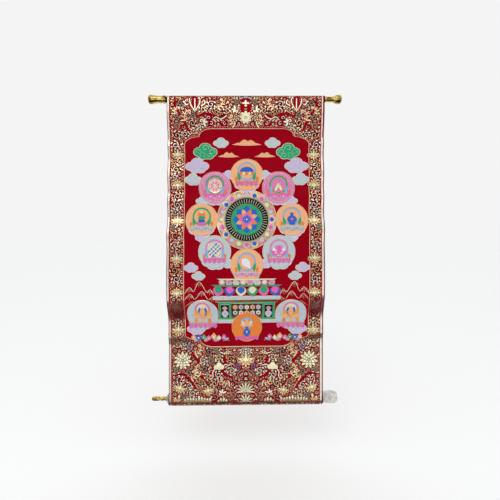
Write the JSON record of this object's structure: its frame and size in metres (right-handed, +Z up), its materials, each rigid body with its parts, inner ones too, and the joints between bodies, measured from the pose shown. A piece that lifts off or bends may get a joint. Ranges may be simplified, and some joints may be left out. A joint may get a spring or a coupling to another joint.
{
  "type": "buddhist wall hanging with top rod and bottom roller",
  "caption": "Hanging scroll of brocade: a lotus-scroll border around a plain-ground window with a woven mandala, on a slim top rod and a thick bottom roller with turned ends.",
  "frame": {"origin": "the middle of the top rod's axis", "axes": "+Z up, the cloth's face looks along -Y, the wall is on the +Y side, +X to the right of someone who faces the scroll"},
  "size_m": [0.5665, 0.0585, 0.929],
  "materials": {
    "brocade": "crimson satin ground with gold figure",
    "brass": "polished",
    "dark_wood": "dark stained",
    "grey_knob": "satin"
  },
  "bodies": {
    "root": {"scroll_cloth": "brocade", "top_rod": "dark_wood", "top_finial_left": "brass", "top_finial_right": "brass", "bottom_roller": "dark_wood", "bottom_collar_left": "grey_knob", "bottom_peg_left": "brass", "bottom_knob_right": "grey_knob"}
  },
  "joints": []
}
